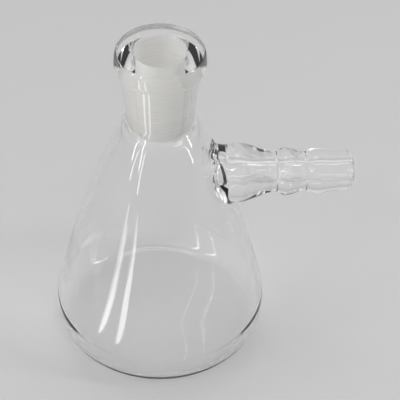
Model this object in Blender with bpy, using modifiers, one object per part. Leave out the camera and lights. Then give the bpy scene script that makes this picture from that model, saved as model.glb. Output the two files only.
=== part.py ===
"""Buchner flask (vacuum filter flask), 100 ml, in borosilicate glass.

Three glass blanks, flame-sealed to each other: a conical body, a neck that is a
ground-joint socket with a rolled rim, and a serrated hose nozzle on the shoulder.
The origin is the centre of the base, +Z runs up the neck and the nozzle points along +X.
"""

import math

import bmesh
import bpy

MM = 0.001

# Driving dimensions
BODY_RADIUS = 32.0 * MM
HEIGHT = 105.0 * MM
NOZZLE_REACH = 56.6 * MM  # from the flask's axis to the nozzle's tip
NOZZLE_HEIGHT = 59.0 * MM
BORE_TOP_RADIUS = 7.25 * MM  # 14.5 mm large end of the ground joint
BORE_TAPER = 0.05  # radius lost per unit of depth: a 1 in 10 cone
WALL = 1.8 * MM  # of the body at its belly
BASE_THICKNESS = 2.2 * MM
SEAL_GAP = 0.3 * MM  # space kept between two neighbouring solids

# Body outline
BASE_FLAT_RADIUS = 20.3 * MM
BELLY_HEIGHT = 10.9 * MM
HEEL_REACH = 9.5 * MM  # handle of the heel curve along the base
HEEL_RISE = 10.5 * MM  # handle of the heel curve up the side
SIDE_HANDLE = 5.0 * MM
SHOULDER_HEIGHT = 80.6 * MM
SHOULDER_HANDLE = 7.1 * MM
SHOULDER_LEAN = math.radians(55.4)  # of the shoulder from the vertical, where the neck rises from it
BODY_END_SHARE = 0.9  # share of the side curve where the body's blank ends
NECK_START_SHARE = 0.907  # and where the neck's begins, the seal gap above it
THROAT_SHARE = 0.88  # share where the inner wall turns into the neck's bore
THROAT_WALL = 3.2 * MM

# Neck outline
NECK_FOOT_RADIUS = 9.65 * MM
NECK_TOP_RADIUS = 11.35 * MM
RIM_RADIUS = 12.95 * MM
RIM_DEPTH = 6.5 * MM  # height of the rolled rim
RIM_ROUND = 4.0 * MM  # part of it that rounds over from the widest circle to the top
RIM_CROWN_RADIUS = 12.1 * MM  # where the rim's flat top begins to round over
MOUTH_EASE = 0.4 * MM  # rounding of the bore's upper edge

# Nozzle outline, as (distance from the flask's axis, radius); the surface eases from each to the next
NOZZLE_STATIONS = (
    (15.0 * MM, 9.0 * MM),  # inside the body, trimmed to its wall
    (19.2 * MM, 8.3 * MM),  # waist behind the seal
    (22.0 * MM, 8.9 * MM),  # seal bulge
    (33.9 * MM, 5.95 * MM),  # first groove
    (36.5 * MM, 7.05 * MM),  # first barb
    (42.4 * MM, 5.8 * MM),  # second groove
    (45.4 * MM, 6.65 * MM),  # second barb
    (55.0 * MM, 5.75 * MM),  # plain tip
)
NOZZLE_BORE_RADIUS = 2.5 * MM
PORT_RADIUS = 4.5 * MM  # hole blown in the body's wall
FUNNEL_END = 26.0 * MM  # where the nozzle's funnel has narrowed to its bore

# Finishes, each a colour and a roughness
GLASS_IOR = 1.474  # borosilicate
CLEAR_FINISH = ((0.97, 0.98, 0.98), 0.02)
GROUND_FINISH = ((0.86, 0.86, 0.84), 0.45)
DRAWN_FINISH = ((0.96, 0.97, 0.97), 0.04)

# Resolution
BODY_STEPS = 48
NECK_STEPS = 40
NOZZLE_STEPS = 28
CURVE_POINTS = 8
SIDE_POINTS = 12
SHOULDER_POINTS = 4
EASE_POINTS = 5
RIM_POINTS = 6
MERGE_DISTANCE = 0.00001


def clear_scene():
    for old in list(bpy.data.objects):
        bpy.data.objects.remove(old)


def new_collection(name):
    collection = bpy.data.collections.new(name)
    bpy.context.scene.collection.children.link(collection)
    return collection


def glass(name, colour, roughness):
    material = bpy.data.materials.new(name)
    material.use_nodes = True
    shader = material.node_tree.nodes["Principled BSDF"]
    shader.inputs["Base Color"].default_value = (*colour, 1)
    shader.inputs["Roughness"].default_value = roughness
    shader.inputs["Metallic"].default_value = 0
    shader.inputs["IOR"].default_value = GLASS_IOR
    shader.inputs["Transmission Weight"].default_value = 1
    return material


def bezier(start, start_handle, end_handle, end, first=0.0, last=1.0, count=CURVE_POINTS):
    """Points on a cubic curve in the (radius, height) plane, from share first to share last."""
    points = []
    for step in range(count + 1):
        t = first + (last - first) * step / count
        weights = ((1 - t) ** 3, 3 * (1 - t) ** 2 * t, 3 * (1 - t) * t**2, t**3)
        corners = (start, start_handle, end_handle, end)
        points.append(tuple(sum(w * c[axis] for w, c in zip(weights, corners)) for axis in (0, 1)))
    return points


def eased(stations, count=EASE_POINTS):
    """Points through stations of (position, radius), level at every station."""
    points = [stations[0]]
    for (x0, r0), (x1, r1) in zip(stations, stations[1:]):
        for step in range(1, count + 1):
            t = step / count
            share = (1 - math.cos(math.pi * t)) / 2
            points.append((x0 + (x1 - x0) * t, r0 + (r1 - r0) * share))
    return points


def quarter_round(start, end, along_first, count=4):
    """Points after start, on a quarter ellipse to end that sets off along the radius or along the height."""
    points = []
    for step in range(1, count + 1):
        angle = math.pi / 2 * step / count
        fast, slow = math.sin(angle), 1 - math.cos(angle)
        share_r, share_z = (fast, slow) if along_first == "radius" else (slow, fast)
        points.append((start[0] + (end[0] - start[0]) * share_r, start[1] + (end[1] - start[1]) * share_z))
    return points


def heel_curve():
    """Outer heel of the body, from the edge of its flat base up to the belly."""
    return bezier(
        (BASE_FLAT_RADIUS, 0),
        (BASE_FLAT_RADIUS + HEEL_REACH, 0),
        (BODY_RADIUS, BELLY_HEIGHT - HEEL_RISE),
        (BODY_RADIUS, BELLY_HEIGHT),
    )


def side_curve(first, last, count=None):
    """Outer side of the body, from the belly (share 0) up to the foot of the neck (share 1)."""
    lean_out = SHOULDER_HANDLE * math.sin(SHOULDER_LEAN)
    lean_down = SHOULDER_HANDLE * math.cos(SHOULDER_LEAN)
    return bezier(
        (BODY_RADIUS, BELLY_HEIGHT),
        (BODY_RADIUS, BELLY_HEIGHT + SIDE_HANDLE),
        (NECK_FOOT_RADIUS + lean_out, SHOULDER_HEIGHT - lean_down),
        (NECK_FOOT_RADIUS, SHOULDER_HEIGHT),
        first,
        last,
        count or SIDE_POINTS,
    )


def body_outer():
    """Outer side of the body from the edge of its flat base up to the seam with the neck."""
    return heel_curve() + side_curve(0, BODY_END_SHARE)[1:]


def inset(points, depths):
    """The points of a curve that runs up the outer side, each moved square to it into the glass."""
    moved = []
    last = len(points) - 1
    for i, ((radius, height), depth) in enumerate(zip(points, depths)):
        before, after = points[max(i - 1, 0)], points[min(i + 1, last)]
        run, rise = after[0] - before[0], after[1] - before[1]
        length = math.hypot(run, rise)
        moved.append((radius - depth * rise / length, height + depth * run / length))
    return moved


def bore_radius(height):
    return BORE_TOP_RADIUS - BORE_TAPER * (HEIGHT - height)


def body_inner():
    """Inner side of the body: its floor from the axis out, its wall, and the round into the neck's bore."""
    heel = heel_curve()
    heel_depths = [
        BASE_THICKNESS + (WALL - BASE_THICKNESS) * i / CURVE_POINTS for i in range(CURVE_POINTS + 1)
    ]
    side = side_curve(0, THROAT_SHARE)
    side_depths = [
        WALL + (THROAT_WALL - WALL) * (i / SIDE_POINTS) ** 3 for i in range(SIDE_POINTS + 1)
    ]
    seam = side_curve(0, BODY_END_SHARE)[-1][1]
    inner = inset(heel + side[1:], heel_depths + side_depths[1:])
    return [(0, BASE_THICKNESS)] + inner + quarter_round(inner[-1], (bore_radius(seam), seam), "radius")


def body_profile():
    return body_inner() + body_outer()[::-1] + [(0, 0)]


def neck_profile():
    """Closed outline of the socket: up the ground bore, over the rim and down the outside."""
    foot = side_curve(NECK_START_SHARE, 1, SHOULDER_POINTS)
    seam = foot[0][1]
    rim_foot = HEIGHT - RIM_DEPTH
    widest = HEIGHT - RIM_ROUND
    bore = [(bore_radius(seam), seam), (bore_radius(HEIGHT), HEIGHT - MOUTH_EASE)]
    mouth = quarter_round(bore[-1], (BORE_TOP_RADIUS + MOUTH_EASE, HEIGHT), "height")
    crown = [(RIM_CROWN_RADIUS, HEIGHT)]
    crown += quarter_round(crown[0], (RIM_RADIUS, widest), "radius", RIM_POINTS)
    under_rim = bezier(
        (RIM_RADIUS, widest),
        (RIM_RADIUS, rim_foot + (widest - rim_foot) / 2),
        (RIM_RADIUS - MOUTH_EASE, rim_foot + (widest - rim_foot) / 4),
        (NECK_TOP_RADIUS, rim_foot),
    )
    return bore + mouth + crown + under_rim[1:] + foot[::-1]


def nozzle_profile():
    """Closed outline of the nozzle: along the funnel and bore, round the tip and back along the outside."""
    root = NOZZLE_STATIONS[0][0]
    plain_end, tip_radius = NOZZLE_STATIONS[-1]
    outer = eased(NOZZLE_STATIONS)[::-1]
    funnel = eased(((root, PORT_RADIUS), (FUNNEL_END, NOZZLE_BORE_RADIUS)))
    funnel.append((plain_end, NOZZLE_BORE_RADIUS))
    end_middle = (NOZZLE_REACH, (tip_radius + NOZZLE_BORE_RADIUS) / 2)
    outline = [(radius, place) for place, radius in funnel]
    outline += quarter_round(outline[-1], end_middle[::-1], "height")
    outline += quarter_round(outline[-1], (tip_radius, plain_end), "radius")
    return outline + [(radius, place) for place, radius in outer[1:]]


def turned(name, profile, closed, steps, collection, material=None):
    """A solid of revolution about Z, from a profile of (radius, height) points."""
    mesh = bpy.data.meshes.new(name)
    edges = [(i, i + 1) for i in range(len(profile) - 1)]
    if closed:
        edges.append((len(profile) - 1, 0))
    mesh.from_pydata([(radius, 0, height) for radius, height in profile], edges, [])
    piece = bpy.data.objects.new(name, mesh)
    collection.objects.link(piece)
    screw = piece.modifiers.new("turn", "SCREW")
    screw.steps = steps
    screw.render_steps = steps
    screw.use_merge_vertices = True
    screw.merge_threshold = MERGE_DISTANCE
    screw.use_smooth_shade = True
    if material:
        mesh.materials.append(material)
    return piece


def cut(piece, cutter):
    boolean = piece.modifiers.new("cut " + cutter.name, "BOOLEAN")
    boolean.operation = "DIFFERENCE"
    boolean.solver = "EXACT"
    boolean.object = cutter


def as_cutter(piece):
    piece.hide_render = True
    piece.display_type = "WIRE"
    return piece


def lay_along_x(piece):
    """Turns a piece made about Z to run along +X at the nozzle's height."""
    piece.location = (0, 0, NOZZLE_HEIGHT)
    piece.rotation_euler = (0, math.pi / 2, 0)


def port_cutter(collection):
    """Cylinder from the body's hollow out past its wall, which opens it into the nozzle."""
    mesh = bpy.data.meshes.new("port_cutter")
    shape = bmesh.new()
    depth = FUNNEL_END - BORE_TOP_RADIUS
    bmesh.ops.create_cone(
        shape, cap_ends=True, segments=NOZZLE_STEPS, radius1=PORT_RADIUS, radius2=PORT_RADIUS, depth=depth
    )
    bmesh.ops.translate(shape, verts=shape.verts, vec=(0, 0, BORE_TOP_RADIUS + depth / 2))
    shape.to_mesh(mesh)
    shape.free()
    piece = bpy.data.objects.new("port_cutter", mesh)
    collection.objects.link(piece)
    lay_along_x(piece)
    return as_cutter(piece)


def body_envelope(collection):
    """The body's outer shape grown by the seal gap, which trims the nozzle's root to the wall."""
    outer = [(radius + SEAL_GAP, height) for radius, height in body_outer()]
    outline = [(0, outer[-1][1])] + outer[::-1] + [(0, outer[0][1])]
    return as_cutter(turned("body_envelope", outline, False, BODY_STEPS, collection))


def build():
    clear_scene()
    parts = new_collection("buchner_flask")
    cutters = new_collection("cutters")

    clear = glass("clear_glass", *CLEAR_FINISH)
    ground = glass("ground_glass", *GROUND_FINISH)
    drawn = glass("drawn_glass", *DRAWN_FINISH)

    body = turned("flask_body", body_profile(), False, BODY_STEPS, parts, clear)
    turned("neck_socket", neck_profile(), True, NECK_STEPS, parts, ground)
    nozzle = turned("hose_nozzle", nozzle_profile(), True, NOZZLE_STEPS, parts, drawn)
    lay_along_x(nozzle)

    cut(body, port_cutter(cutters))
    cut(nozzle, body_envelope(cutters))


build()
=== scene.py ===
"""Looks for the buchner flask: three blanks of clear glass sealed to each other, on a pale studio floor.

Each piece stands for one CAD solid and is turned from the same outline, finer and with what hand-worked
glass has: a domed base, a smooth throat, filleted seals, a slightly uneven bore and a ground neck.
"""

import math

import bmesh
import bpy
from mathutils import Matrix, Vector, noise


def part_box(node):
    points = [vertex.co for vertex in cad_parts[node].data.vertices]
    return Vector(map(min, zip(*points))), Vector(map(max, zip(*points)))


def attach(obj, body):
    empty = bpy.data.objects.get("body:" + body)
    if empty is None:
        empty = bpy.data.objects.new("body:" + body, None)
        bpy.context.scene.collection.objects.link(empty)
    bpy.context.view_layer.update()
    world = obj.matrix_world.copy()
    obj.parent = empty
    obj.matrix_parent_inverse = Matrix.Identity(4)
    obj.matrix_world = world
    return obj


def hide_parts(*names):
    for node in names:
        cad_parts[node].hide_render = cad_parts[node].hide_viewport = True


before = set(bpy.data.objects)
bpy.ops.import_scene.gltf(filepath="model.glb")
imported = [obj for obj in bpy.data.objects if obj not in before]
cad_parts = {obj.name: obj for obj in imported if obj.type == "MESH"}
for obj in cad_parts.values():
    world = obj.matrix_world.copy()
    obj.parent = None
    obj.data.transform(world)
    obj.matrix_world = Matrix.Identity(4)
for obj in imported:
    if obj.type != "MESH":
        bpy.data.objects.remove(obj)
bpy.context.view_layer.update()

MM = 0.001

# Sizes read from the frame
BODY_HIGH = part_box("flask_body")[1]
NECK_LOW, NECK_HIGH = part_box("neck_socket")
NOZZLE_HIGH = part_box("hose_nozzle")[1]
BODY_RADIUS = BODY_HIGH.x
HEIGHT = NECK_HIGH.z
SEAM_HEIGHT = NECK_LOW.z
RIM_RADIUS = NECK_HIGH.x
NOZZLE_REACH = NOZZLE_HIGH.x
BULGE_RADIUS = NOZZLE_HIGH.y
NOZZLE_HEIGHT = NOZZLE_HIGH.z - BULGE_RADIUS

# Body outline
BASE_FLAT_RADIUS = 20.3 * MM
BELLY_HEIGHT = 10.9 * MM
HEEL_REACH = 9.5 * MM
HEEL_RISE = 10.5 * MM
SIDE_HANDLE = 5.0 * MM
SHOULDER_HEIGHT = 80.6 * MM
SHOULDER_HANDLE = 7.1 * MM
SHOULDER_LEAN = math.radians(55.4)
THROAT_SHARE = 0.88
WALL = 1.8 * MM
THROAT_WALL = 3.2 * MM
BASE_THICKNESS = 2.2 * MM
DOME_RADIUS = 17.0 * MM  # of the base's push-up
DOME_RISE = 0.9 * MM

# Neck outline
BORE_TOP_RADIUS = 7.25 * MM
BORE_TAPER = 0.05
NECK_FOOT_RADIUS = 9.65 * MM
NECK_TOP_RADIUS = 11.35 * MM
RIM_DEPTH = 6.5 * MM
RIM_ROUND = 4.0 * MM
RIM_CROWN_RADIUS = 12.1 * MM
MOUTH_EASE = 0.4 * MM
NECK_FILLET = 2.2 * MM  # of the foot of the neck into the shoulder

# Nozzle outline: stations of (distance from the flask's axis, radius)
NOZZLE_STATIONS = (
    (12.0 * MM, 9.2 * MM),
    (15.0 * MM, 9.0 * MM),
    (19.2 * MM, 8.3 * MM),
    (22.0 * MM, BULGE_RADIUS),
    (33.9 * MM, 5.95 * MM),
    (36.5 * MM, 7.05 * MM),
    (42.4 * MM, 5.8 * MM),
    (45.4 * MM, 6.65 * MM),
    (55.0 * MM, 5.75 * MM),
)
FUNNEL_STATIONS = (
    (12.0 * MM, 4.9 * MM),
    (15.0 * MM, 4.5 * MM),
    (26.0 * MM, 2.5 * MM),
)
FILLET = 1.3 * MM  # of the seal between nozzle and body
FILLET_FULLNESS = 0.8

# Unevenness of hand work: its size, and how many waves there are to a metre
INNER_SIDE_WAVE = (0.1 * MM, 70)
FROST_EDGE_WAVE = (0.4 * MM, 300)
NOZZLE_WAVE = (0.12 * MM, 160)
NOZZLE_BORE_WAVE = (0.25 * MM, 220)

# Resolution
BODY_SEGMENTS = 160
NECK_SEGMENTS = 144
NOZZLE_SEGMENTS = 96
FINE_SIDE_POINTS = 200
NOZZLE_POINTS = 14  # from one station to the next
SEAM_MARGIN = 0.2 * MM  # kept free of other points along the body, and half of it along the neck
WELD_DISTANCE = 0.001 * MM
TIP_MARGIN = 0.1 * MM  # by which the middle of the nozzle's rounded end counts as outside
SHARP_ANGLE = math.radians(40)

CLEAR, GROUND, SEAL = range(3)  # every piece's material slots
KEPT_SEAL = SEAL + 1  # marks the nozzle's seal while the body is put together

# Glass
GLASS_IOR = 1.474  # borosilicate
SHADOW_STRAIGHT = 0.86  # light that a shadow ray keeps where it meets the glass square on
SHADOW_GRAZING = 0.35
SHADOW_POWER = 3  # how late the shadow darkens towards its edge
NOISE_LOW, NOISE_HIGH = 0.3, 0.7  # nearly all of a noise texture lies between these
RING_LOW, RING_HIGH = 0.35, 0.65  # the part of the noise that shades the grinding rings
RING_DARK = (0.62, 0.615, 0.595, 1)
RING_LIGHT = (0.68, 0.675, 0.655, 1)


# Outlines: lists of (radius, height) points


def bezier(start, start_handle, end_handle, end, last=1.0, count=24):
    """Points on a cubic curve, from its start to the share last of it."""
    points = []
    for step in range(count + 1):
        t = last * step / count
        weights = ((1 - t) ** 3, 3 * (1 - t) ** 2 * t, 3 * (1 - t) * t**2, t**3)
        corners = (start, start_handle, end_handle, end)
        points.append(tuple(sum(w * c[axis] for w, c in zip(weights, corners)) for axis in (0, 1)))
    return points


def eased(stations, count=10):
    """Points through stations of (position, value), level at every station."""
    points = [stations[0]]
    for (x0, r0), (x1, r1) in zip(stations, stations[1:]):
        for step in range(1, count + 1):
            t = step / count
            share = (1 - math.cos(math.pi * t)) / 2
            points.append((x0 + (x1 - x0) * t, r0 + (r1 - r0) * share))
    return points


def quarter_round(start, end, along_first, count=8):
    """Points after start, on a quarter ellipse to end that sets off along the radius or the height."""
    points = []
    for step in range(1, count + 1):
        angle = math.pi / 2 * step / count
        fast, slow = math.sin(angle), 1 - math.cos(angle)
        share_r, share_z = (fast, slow) if along_first == "radius" else (slow, fast)
        points.append((start[0] + (end[0] - start[0]) * share_r, start[1] + (end[1] - start[1]) * share_z))
    return points


def straight(start, end, count):
    """Points after start, evenly spaced on the line to end."""
    return [
        tuple(a + (b - a) * step / count for a, b in zip(start, end)) for step in range(1, count + 1)
    ]


def heel_curve():
    return bezier(
        (BASE_FLAT_RADIUS, 0),
        (BASE_FLAT_RADIUS + HEEL_REACH, 0),
        (BODY_RADIUS, BELLY_HEIGHT - HEEL_RISE),
        (BODY_RADIUS, BELLY_HEIGHT),
    )


def side_curve(last=1.0, count=56):
    lean_out = SHOULDER_HANDLE * math.sin(SHOULDER_LEAN)
    lean_down = SHOULDER_HANDLE * math.cos(SHOULDER_LEAN)
    return bezier(
        (BODY_RADIUS, BELLY_HEIGHT),
        (BODY_RADIUS, BELLY_HEIGHT + SIDE_HANDLE),
        (NECK_FOOT_RADIUS + lean_out, SHOULDER_HEIGHT - lean_down),
        (NECK_FOOT_RADIUS, SHOULDER_HEIGHT),
        last,
        count,
    )


def at_height(points, height):
    """The radius of an outline that climbs, at a height."""
    for (r0, z0), (r1, z1) in zip(points, points[1:]):
        if z0 <= height <= z1:
            return r0 + (r1 - r0) * (height - z0) / (z1 - z0)
    return points[-1][0]


def inset(points, depths):
    """An outline that climbs the outer side, moved square to itself into the glass."""
    moved = []
    last = len(points) - 1
    for i, ((radius, height), depth) in enumerate(zip(points, depths)):
        before, after = points[max(i - 1, 0)], points[min(i + 1, last)]
        run, rise = after[0] - before[0], after[1] - before[1]
        length = math.hypot(run, rise)
        moved.append((radius - depth * rise / length, height + depth * run / length))
    return moved


def bore_radius(height):
    return BORE_TOP_RADIUS - BORE_TAPER * (HEIGHT - height)


def dome(radius):
    """How far the base is pushed up at a radius."""
    if radius >= DOME_RADIUS:
        return 0.0
    return DOME_RISE * (1 + math.cos(math.pi * radius / DOME_RADIUS)) / 2


def floor_run(edge_radius, height, count=24):
    """The base's dome, at a height above its underside, from the axis out to edge_radius."""
    radii = [edge_radius * step / count for step in range(count)]
    return [(radius, height + dome(radius)) for radius in radii]


def outer_side():
    """The body's outer side, from its flat base up to the seam with the neck."""
    whole = side_curve(count=FINE_SIDE_POINTS)
    side = [point for point in side_curve() if point[1] < SEAM_HEIGHT - SEAM_MARGIN]
    return heel_curve() + side[1:] + [(at_height(whole, SEAM_HEIGHT), SEAM_HEIGHT)]


def inner_side():
    """The body's inner side, from the edge of its floor up into the neck's bore, which it meets smoothly."""
    heel = heel_curve()
    side = side_curve(THROAT_SHARE)
    last_heel, last_side = len(heel) - 1, len(side) - 1
    heel_depths = [BASE_THICKNESS + (WALL - BASE_THICKNESS) * i / last_heel for i in range(len(heel))]
    side_depths = [WALL + (THROAT_WALL - WALL) * (i / last_side) ** 3 for i in range(len(side))]
    wall = inset(heel + side[1:], heel_depths + side_depths[1:])
    (radius_before, height_before), (radius, height) = wall[-2:]
    bore_foot = bore_radius(SEAM_HEIGHT)
    half_climb = (SEAM_HEIGHT - height) / 2
    slope = (radius - radius_before) / (height - height_before)
    throat = bezier(
        (radius, height),
        (radius + slope * half_climb, height + half_climb),
        (bore_foot, SEAM_HEIGHT - half_climb),
        (bore_foot, SEAM_HEIGHT),
        count=10,
    )
    return wall + throat[1:]


def rim_run():
    """The neck's outside, from the mouth over the rolled rim and down to the seam."""
    rim_foot = HEIGHT - RIM_DEPTH
    widest = HEIGHT - RIM_ROUND
    crown = [(RIM_CROWN_RADIUS, HEIGHT)]
    crown += quarter_round(crown[0], (RIM_RADIUS, widest), "radius", count=16)
    under = bezier(
        (RIM_RADIUS, widest),
        (RIM_RADIUS, rim_foot + (widest - rim_foot) / 2),
        (RIM_RADIUS - MOUTH_EASE, rim_foot + (widest - rim_foot) / 4),
        (NECK_TOP_RADIUS, rim_foot),
    )
    foot = (NECK_FOOT_RADIUS, SHOULDER_HEIGHT)
    side = straight(under[-1], foot, count=32)
    side = [point for point in side if point[1] > SHOULDER_HEIGHT + NECK_FILLET]
    whole = side_curve(count=FINE_SIDE_POINTS)
    seam_side = SEAM_HEIGHT + SEAM_MARGIN / 2
    fillet_end = SHOULDER_HEIGHT - NECK_FILLET / 2
    shoulder = [point for point in whole if seam_side < point[1] < fillet_end][::-1]
    shoulder.append((at_height(whole, SEAM_HEIGHT), SEAM_HEIGHT))
    start_handle = straight(side[-1], foot, count=3)[1]
    end_handle = straight(shoulder[0], foot, count=3)[1]
    fillet = bezier(side[-1], start_handle, end_handle, shoulder[0])
    return crown + under[1:] + side + fillet[1:] + shoulder[1:]


# Meshes


def turned(name, runs, segments, shift=None):
    """A solid of revolution about Z.

    Each run is a material slot and the (radius, height) points that it covers from the last run's end.
    The outline runs down the outer side. shift moves a finished point and returns it.
    """
    outline = [point for _, points in runs for point in points]
    slots = [slot for slot, points in runs for _ in points]
    shape = bmesh.new()
    rings = []
    for radius, height in outline:
        angles = [0.0] if radius == 0 else [2 * math.pi * i / segments for i in range(segments)]
        corners = [Vector((radius * math.cos(a), radius * math.sin(a), height)) for a in angles]
        rings.append([shape.verts.new(shift(c) if shift else c) for c in corners])
    closed = outline[0][0] > 0 or outline[-1][0] > 0
    for i in range(len(rings) if closed else len(rings) - 1):
        upper, lower = rings[i], rings[(i + 1) % len(rings)]
        slot = slots[(i + 1) % len(rings)]
        for j in range(segments):
            k = (j + 1) % segments
            corners = [
                upper[j % len(upper)],
                lower[j % len(lower)],
                lower[k % len(lower)],
                upper[k % len(upper)],
            ]
            face = shape.faces.new(list(dict.fromkeys(corners)))
            face.material_index = slot
            face.smooth = True
    mesh = bpy.data.meshes.new(name)
    shape.to_mesh(mesh)
    shape.free()
    for material in MATERIALS:
        mesh.materials.append(material)
    piece = bpy.data.objects.new(name, mesh)
    bpy.context.scene.collection.objects.link(piece)
    return piece


def solved(piece, cutter, operation):
    """The mesh that piece and cutter make by a Boolean."""
    modifier = piece.modifiers.new("boolean", "BOOLEAN")
    modifier.operation = operation
    modifier.solver = "EXACT"
    modifier.object = cutter
    depsgraph = bpy.context.evaluated_depsgraph_get()
    mesh = bpy.data.meshes.new_from_object(piece.evaluated_get(depsgraph))
    piece.modifiers.remove(modifier)
    return mesh


def finish_edges(mesh):
    mesh.shade_smooth()
    mesh.set_sharp_from_angle(angle=SHARP_ANGLE)


# Materials


def new_material(name):
    material = bpy.data.materials.new(name)
    material.use_nodes = True
    return material, material.node_tree.nodes, material.node_tree.links


def noise_node(nodes, links, scale, detail, squeeze=1):
    """Noise on the object, squeezed along Z into rings where squeeze is over 1."""
    coordinates = nodes.new("ShaderNodeTexCoord")
    mapping = nodes.new("ShaderNodeMapping")
    mapping.inputs["Scale"].default_value = (1, 1, squeeze)
    texture = nodes.new("ShaderNodeTexNoise")
    texture.inputs["Scale"].default_value = scale
    texture.inputs["Detail"].default_value = detail
    links.new(coordinates.outputs["Object"], mapping.inputs["Vector"])
    links.new(mapping.outputs["Vector"], texture.inputs["Vector"])
    return texture


def ranged(nodes, links, source, low, high):
    """A noise texture's usual range stretched to run from low to high."""
    spread = nodes.new("ShaderNodeMapRange")
    spread.inputs["From Min"].default_value = NOISE_LOW
    spread.inputs["From Max"].default_value = NOISE_HIGH
    spread.inputs["To Min"].default_value = low
    spread.inputs["To Max"].default_value = high
    links.new(source, spread.inputs["Value"])
    return spread.outputs["Result"]


def bumped(nodes, links, shader, source, strength, distance):
    bump = nodes.new("ShaderNodeBump")
    bump.inputs["Strength"].default_value = strength
    bump.inputs["Distance"].default_value = distance
    links.new(source, bump.inputs["Height"])
    links.new(bump.outputs["Normal"], shader.inputs["Normal"])


def pass_light(nodes, links, shader):
    """Shadow rays cross the glass, dimmed more where they graze it, so a clear shadow has dark edges."""
    facing = nodes.new("ShaderNodeLayerWeight")
    facing.inputs["Blend"].default_value = 0.5
    steep = nodes.new("ShaderNodeMath")
    steep.operation = "POWER"
    steep.inputs[1].default_value = SHADOW_POWER
    links.new(facing.outputs["Facing"], steep.inputs[0])
    dim = nodes.new("ShaderNodeMapRange")
    dim.inputs["To Min"].default_value = SHADOW_STRAIGHT
    dim.inputs["To Max"].default_value = SHADOW_GRAZING
    links.new(steep.outputs["Value"], dim.inputs["Value"])
    clear = nodes.new("ShaderNodeBsdfTransparent")
    links.new(dim.outputs["Result"], clear.inputs["Color"])
    path = nodes.new("ShaderNodeLightPath")
    mix = nodes.new("ShaderNodeMixShader")
    links.new(path.outputs["Is Shadow Ray"], mix.inputs["Fac"])
    links.new(shader.outputs["BSDF"], mix.inputs[1])
    links.new(clear.outputs["BSDF"], mix.inputs[2])
    links.new(mix.outputs["Shader"], nodes["Material Output"].inputs["Surface"])


def clear_glass():
    """Fire-polished borosilicate: faint smears, and the slow waves of blown glass."""
    material, nodes, links = new_material("clear_glass")
    shader = nodes["Principled BSDF"]
    shader.inputs["Base Color"].default_value = (0.99, 0.99, 0.99, 1)
    shader.inputs["IOR"].default_value = GLASS_IOR
    shader.inputs["Transmission Weight"].default_value = 1
    smears = noise_node(nodes, links, scale=60, detail=3)
    smeared = ranged(nodes, links, smears.outputs["Fac"], low=0.0, high=0.03)
    links.new(smeared, shader.inputs["Roughness"])
    waves = noise_node(nodes, links, scale=90, detail=1)
    bumped(nodes, links, shader, waves.outputs["Fac"], strength=0.25, distance=0.2 * MM)
    pass_light(nodes, links, shader)
    return material


def ground_glass():
    """The ground bore: a fine, milky frost with faint rings from the grinding."""
    material, nodes, links = new_material("ground_glass")
    shader = nodes["Principled BSDF"]
    rings = noise_node(nodes, links, scale=150, detail=5, squeeze=14)
    tone = nodes.new("ShaderNodeValToRGB")
    dark, light = tone.color_ramp.elements
    dark.position = RING_LOW
    dark.color = RING_DARK
    light.position = RING_HIGH
    light.color = RING_LIGHT
    links.new(rings.outputs["Fac"], tone.inputs["Fac"])
    links.new(tone.outputs["Color"], shader.inputs["Base Color"])
    shader.inputs["IOR"].default_value = GLASS_IOR
    shader.inputs["Transmission Weight"].default_value = 0.2
    shader.inputs["Subsurface Weight"].default_value = 0.35
    shader.inputs["Subsurface Radius"].default_value = (1, 1, 1)
    shader.inputs["Subsurface Scale"].default_value = 1.5 * MM
    frost = noise_node(nodes, links, scale=400, detail=4)
    frosted = ranged(nodes, links, frost.outputs["Fac"], low=0.55, high=0.7)
    links.new(frosted, shader.inputs["Roughness"])
    grain = noise_node(nodes, links, scale=6000, detail=2)
    bumped(nodes, links, shader, grain.outputs["Fac"], strength=0.3, distance=0.02 * MM)
    pass_light(nodes, links, shader)
    return material


def seal_face():
    """Where two blanks are fused there is no surface, so light goes straight on."""
    material, nodes, links = new_material("seal_face")
    clear = nodes.new("ShaderNodeBsdfTransparent")
    links.new(clear.outputs["BSDF"], nodes["Material Output"].inputs["Surface"])
    nodes.remove(nodes["Principled BSDF"])
    return material


MATERIALS = [clear_glass(), ground_glass(), seal_face()]


# Pieces

OUTER = outer_side()
GROUND_POINTS = 3  # of the inner side, at its top, that the grinding reaches
FROST_FOOT = inner_side()[-GROUND_POINTS - 1][1]


def nozzle_place(point):
    """A point of a shape turned about Z, laid along +X at the nozzle's height."""
    return Vector((point.z, point.y, NOZZLE_HEIGHT - point.x))


def uneven(point, size, scale):
    """A slow, repeatable variation at a point, from about -size to size."""
    return size * noise.noise(point * scale)


def body_wave(point):
    """The body's inner side isn't quite round, and the grinding ends along an uneven line."""
    radius = math.hypot(point.x, point.y)
    if abs(point.z - FROST_FOOT) < WELD_DISTANCE and radius < BORE_TOP_RADIUS:
        return point + Vector((0, 0, uneven(point, *FROST_EDGE_WAVE)))
    inner = radius < at_height(OUTER, point.z) - WALL / 2
    if not inner or radius < DOME_RADIUS or point.z > NOZZLE_HEIGHT:
        return point
    factor = 1 + uneven(point, *INNER_SIDE_WAVE) / radius
    return Vector((point.x * factor, point.y * factor, point.z))


def nozzle_outer_point(point):
    """The nozzle's outside: filleted into the body's wall and slightly uneven further out."""
    laid = nozzle_place(point)
    radius = math.hypot(point.x, point.y)
    gap = math.hypot(laid.x, laid.y) - at_height(OUTER, laid.z)
    near = min(max(1 - gap / FILLET, 0), 1)
    fillet = FILLET * (1 - math.sqrt(1 - near**2)) * FILLET_FULLNESS
    grown = 1 + (fillet + uneven(point, *NOZZLE_WAVE)) / radius
    return nozzle_place(Vector((point.x * grown, point.y * grown, point.z)))


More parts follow.
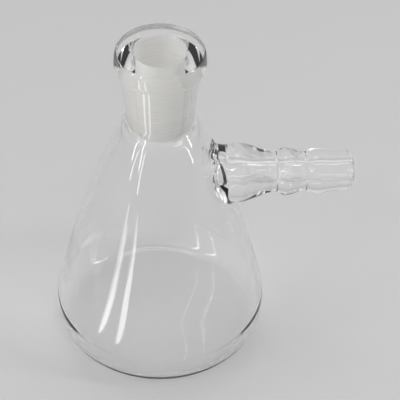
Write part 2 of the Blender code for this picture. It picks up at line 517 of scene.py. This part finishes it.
def nozzle_bore_point(point):
    """The drawn bore wanders a little."""
    radius = math.hypot(point.x, point.y)
    grown = 1 + uneven(point + Vector((0, 0, 1)), *NOZZLE_BORE_WAVE) / max(radius, MM)
    return nozzle_place(Vector((point.x * grown, point.y * grown, point.z)))


def nozzle_point(point):
    """A point of the nozzle's own outline, on its bore or on its outside."""
    radius = math.hypot(point.x, point.y)
    bore = at_height([(r, x) for x, r in funnel_and_bore()], point.z)
    middle = (bore + NOZZLE_STATIONS[-1][1]) / 2
    return nozzle_bore_point(point) if radius < middle - TIP_MARGIN else nozzle_outer_point(point)


def funnel_and_bore():
    """The nozzle's inside, from its root to its plain end, as (distance, radius) points."""
    plain_end = NOZZLE_STATIONS[-1][0]
    funnel = eased(FUNNEL_STATIONS)
    bore = straight(funnel[-1], (plain_end, funnel[-1][1]), count=60)
    return funnel + bore


def nozzle_runs():
    """The nozzle's closed outline: along the bore, round the tip and back along the outside."""
    inner = [(radius, place) for place, radius in funnel_and_bore()]
    outer = [(radius, place) for place, radius in eased(NOZZLE_STATIONS, NOZZLE_POINTS)][::-1]
    tip_radius, bore = outer[0][0], inner[-1][0]
    end_middle = ((tip_radius + bore) / 2, NOZZLE_REACH)
    tip = quarter_round(inner[-1], end_middle, "height")
    tip += quarter_round(end_middle, outer[0], "radius")
    return [(CLEAR, inner + tip + outer[1:])]


def body_piece(rod, core):
    """The body, with the nozzle's seal marked on its outer side and the port opened through it.

    The rod parts the body into a plug under the nozzle and the rest. Their cut faces are deleted and the two
    are welded again, which leaves the nozzle's outline in the mesh.
    """
    outer = OUTER[::-1]
    inner = inner_side()
    edge = inner[0][0]
    top = floor_run(edge, BASE_THICKNESS)
    under = floor_run(DOME_RADIUS, 0)[::-1]
    whole = turned(
        "whole_body",
        [
            (CLEAR, top + inner[:-GROUND_POINTS]),
            (GROUND, inner[-GROUND_POINTS:]),
            (SEAL, outer[:1]),
            (CLEAR, outer[1:] + [(DOME_RADIUS, 0)] + under),
        ],
        BODY_SEGMENTS,
        body_wave,
    )
    plug = solved(whole, rod, "INTERSECT")
    rest = solved(whole, rod, "DIFFERENCE")
    marked = bmesh.new()
    marked.from_mesh(plug)
    for face in marked.faces:
        middle = face.calc_center_median()
        if face.material_index == CLEAR and face.normal.dot(Vector((middle.x, middle.y, 0))) > 0:
            face.material_index = KEPT_SEAL
    marked.from_mesh(rest)
    cut_faces = [
        face
        for face in marked.faces
        if face.material_index == SEAL and face.calc_center_median().z < SEAM_HEIGHT - MM
    ]
    bmesh.ops.delete(marked, geom=cut_faces, context="FACES")
    bmesh.ops.remove_doubles(marked, verts=marked.verts, dist=WELD_DISTANCE)
    for face in marked.faces:
        face.material_index = min(face.material_index, SEAL)
    marked.to_mesh(whole.data)
    marked.free()
    mesh = solved(whole, core, "DIFFERENCE")
    bpy.data.objects.remove(whole)
    return placed("flask_body_glass", mesh, "flask_body")


def neck_piece():
    """The ground-joint socket with its rolled rim."""
    bore_top = (bore_radius(HEIGHT), HEIGHT - MOUTH_EASE)
    bore_foot = (bore_radius(SEAM_HEIGHT), SEAM_HEIGHT)
    mouth = quarter_round(bore_top, (BORE_TOP_RADIUS + MOUTH_EASE, HEIGHT), "height")
    bore = straight(bore_foot, bore_top, count=40)
    runs = [(SEAL, [bore_foot]), (GROUND, bore), (CLEAR, mouth + rim_run())]
    whole = turned("whole_neck", runs, NECK_SEGMENTS)
    mesh = whole.data.copy()
    bpy.data.objects.remove(whole)
    return placed("neck_socket_glass", mesh, "neck_socket")


def nozzle_piece():
    """The serrated hose nozzle, trimmed to the body's outer side."""
    envelope = turned(
        "envelope",
        [(SEAL, [(0, SEAM_HEIGHT)] + OUTER[::-1] + [(0, 0)])],
        BODY_SEGMENTS,
    )
    whole = turned("whole_nozzle", nozzle_runs(), NOZZLE_SEGMENTS, nozzle_point)
    mesh = solved(whole, envelope, "DIFFERENCE")
    for helper in (envelope, whole):
        bpy.data.objects.remove(helper)
    return placed("hose_nozzle_glass", mesh, "hose_nozzle")


def nozzle_rod():
    """The nozzle's outside as a rod through the body's wall."""
    outer = [(radius, place) for place, radius in eased(NOZZLE_STATIONS, NOZZLE_POINTS)][::-1]
    outline = [(0, outer[0][1])] + outer + [(0, outer[-1][1])]
    return turned("rod", [(SEAL, outline)], NOZZLE_SEGMENTS, rod_point)


def rod_point(point):
    """A point of the rod: its two ends close on the axis, which stays straight."""
    if point.x == 0 and point.y == 0:
        return nozzle_place(point)
    return nozzle_outer_point(point)


def nozzle_core():
    """The nozzle's funnel and bore as a rod through the body's wall."""
    inner = [(radius, place) for place, radius in funnel_and_bore()][::-1]
    outline = [(0, inner[0][1])] + inner + [(0, inner[-1][1])]
    return turned("core", [(CLEAR, outline)], NOZZLE_SEGMENTS, core_point)


def core_point(point):
    """A point of the core, whose ends close on the axis as the rod's do."""
    if point.x == 0 and point.y == 0:
        return nozzle_place(point)
    return nozzle_bore_point(point)


def placed(name, mesh, node):
    """The finished piece, standing for its CAD node."""
    finish_edges(mesh)
    mesh.name = name
    piece = bpy.data.objects.new(name, mesh)
    bpy.context.scene.collection.objects.link(piece)
    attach(piece, "root")
    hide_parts(node)
    return piece


# Studio

CAMERA_AZIMUTH = math.radians(-2)
CAMERA_ELEVATION = math.radians(43.5)
CAMERA_DISTANCE = 480 * MM
CAMERA_TARGET_HEIGHT = 50 * MM
CAMERA_LENS = 145.4
AIM_RIGHT = 11.8 * MM
AIM_DOWN = 1.1 * MM
CAMERA_ROLL = math.radians(1.34)
CLIP_START = 10 * MM

FLOOR_RADIUS = 3.0
FLOOR_DROP = 0.05 * MM  # of the floor under the flask's base
FLOOR_COLOUR = (0.47, 0.47, 0.474, 1)
HORIZON_BRIGHTNESS = 0.4
OVERHEAD_BRIGHTNESS = 1.0
DIM_BELOW, BRIGHT_ABOVE = -0.1, 0.9  # upward part of a direction where the dome stops dimming and brightening

# The two lamps on the floor that draw the streaks
STREAK_WIDTH = 14 * MM
STREAK_LENGTH = 300 * MM
STREAK_POWER = 0.045
STREAK_DISTANCE = 205 * MM  # from the flask's axis to the lamp's middle
STREAK_HEIGHT = 4 * MM


def camera():
    """Looks down at the flask from the front, with the whole of it and its nozzle in the frame."""
    flat = math.cos(CAMERA_ELEVATION)
    back = Vector(
        (math.sin(CAMERA_AZIMUTH) * flat, -math.cos(CAMERA_AZIMUTH) * flat, math.sin(CAMERA_ELEVATION))
    )
    eye = Vector((0, 0, CAMERA_TARGET_HEIGHT)) + back * CAMERA_DISTANCE
    right = Vector((0, 0, 1)).cross(back).normalized()
    up = back.cross(right)
    target = Vector((0, 0, CAMERA_TARGET_HEIGHT)) + right * AIM_RIGHT - up * AIM_DOWN
    look = bpy.data.objects.new("camera", bpy.data.cameras.new("camera"))
    look.data.lens = CAMERA_LENS
    look.data.clip_start = CLIP_START
    turn = (target - eye).to_track_quat("-Z", "Y").to_matrix().to_4x4()
    look.matrix_world = Matrix.Translation(eye) @ turn @ Matrix.Rotation(CAMERA_ROLL, 4, "Z")
    bpy.context.scene.collection.objects.link(look)
    bpy.context.scene.camera = look


def floor():
    """A wide round sheet of pale, matt paper."""
    mesh = bpy.data.meshes.new("floor")
    shape = bmesh.new()
    bmesh.ops.create_circle(shape, cap_ends=True, segments=96, radius=FLOOR_RADIUS)
    shape.to_mesh(mesh)
    shape.free()
    ground = bpy.data.objects.new("floor", mesh)
    ground.location.z = -FLOOR_DROP
    material, nodes, links = new_material("floor_paper")
    shader = nodes["Principled BSDF"]
    shader.inputs["Base Color"].default_value = FLOOR_COLOUR
    paper = noise_node(nodes, links, scale=30, detail=4)
    matt = ranged(nodes, links, paper.outputs["Fac"], low=0.75, high=0.9)
    links.new(matt, shader.inputs["Roughness"])
    mesh.materials.append(material)
    bpy.context.scene.collection.objects.link(ground)


def softbox(name, place, target, width, height, power):
    """A rectangular lamp at a place, turned to face a target."""
    lamp = bpy.data.lights.new(name, "AREA")
    lamp.shape = "RECTANGLE"
    lamp.size = width
    lamp.size_y = height
    lamp.energy = power
    light = bpy.data.objects.new(name, lamp)
    turn = (Vector(target) - Vector(place)).to_track_quat("-Z", "Y").to_matrix().to_4x4()
    light.matrix_world = Matrix.Translation(place) @ turn
    bpy.context.scene.collection.objects.link(light)


def floor_strip(name, bearing):
    """A thin lamp lying face up beside the flask, out of sight, that draws a streak down the body."""
    lamp = bpy.data.lights.new(name, "AREA")
    lamp.shape = "ELLIPSE"
    lamp.size = STREAK_WIDTH
    lamp.size_y = STREAK_LENGTH
    lamp.energy = STREAK_POWER
    light = bpy.data.objects.new(name, lamp)
    face_up = Matrix.Rotation(math.pi, 4, "X")
    out = Matrix.Translation((0, -STREAK_DISTANCE, STREAK_HEIGHT))
    light.matrix_world = Matrix.Rotation(bearing, 4, "Z") @ out @ face_up
    light.visible_camera = False
    bpy.context.scene.collection.objects.link(light)


def studio():
    """A pale dome, brighter overhead, with softboxes and floor lamps that draw the streaks on the glass."""
    world = bpy.data.worlds.new("studio")
    world.use_nodes = True
    nodes, links = world.node_tree.nodes, world.node_tree.links
    direction = nodes.new("ShaderNodeTexCoord")
    parts = nodes.new("ShaderNodeSeparateXYZ")
    links.new(direction.outputs["Generated"], parts.inputs["Vector"])
    height = nodes.new("ShaderNodeMapRange")
    height.inputs["From Min"].default_value = DIM_BELOW
    height.inputs["From Max"].default_value = BRIGHT_ABOVE
    height.inputs["To Min"].default_value = HORIZON_BRIGHTNESS
    height.inputs["To Max"].default_value = OVERHEAD_BRIGHTNESS
    links.new(parts.outputs["Z"], height.inputs["Value"])
    links.new(height.outputs["Result"], nodes["Background"].inputs["Color"])
    bpy.context.scene.world = world
    middle = (0, 0, HEIGHT / 2)
    softbox("overhead", (0.0, 0.3, 0.9), middle, width=0.35, height=0.25, power=1.0)
    softbox("left_strip_front", (-0.43, -0.42, 0.32), middle, width=0.03, height=0.6, power=0.8)
    softbox("left_strip_side", (-0.54, -0.24, 0.32), middle, width=0.03, height=0.6, power=0.8)
    floor_strip("left_streak", math.radians(-52))
    floor_strip("left_streak_inner", math.radians(-36))
    softbox("right_strip", (0.5, -0.1, 0.3), middle, width=0.04, height=0.5, power=0.9)


camera()
floor()
studio()
rod, core = nozzle_rod(), nozzle_core()
body_piece(rod, core)
neck_piece()
nozzle_piece()
for helper in (rod, core):
    bpy.data.objects.remove(helper)

LIGHT_BOUNCES = 24  # many, for light to find its way out of the thick glass of the rim and nozzle

scene = bpy.context.scene
scene.cycles.max_bounces = LIGHT_BOUNCES
scene.cycles.transmission_bounces = LIGHT_BOUNCES
scene.cycles.transparent_max_bounces = LIGHT_BOUNCES
scene.cycles.caustics_reflective = False
scene.view_settings.view_transform = "Standard"
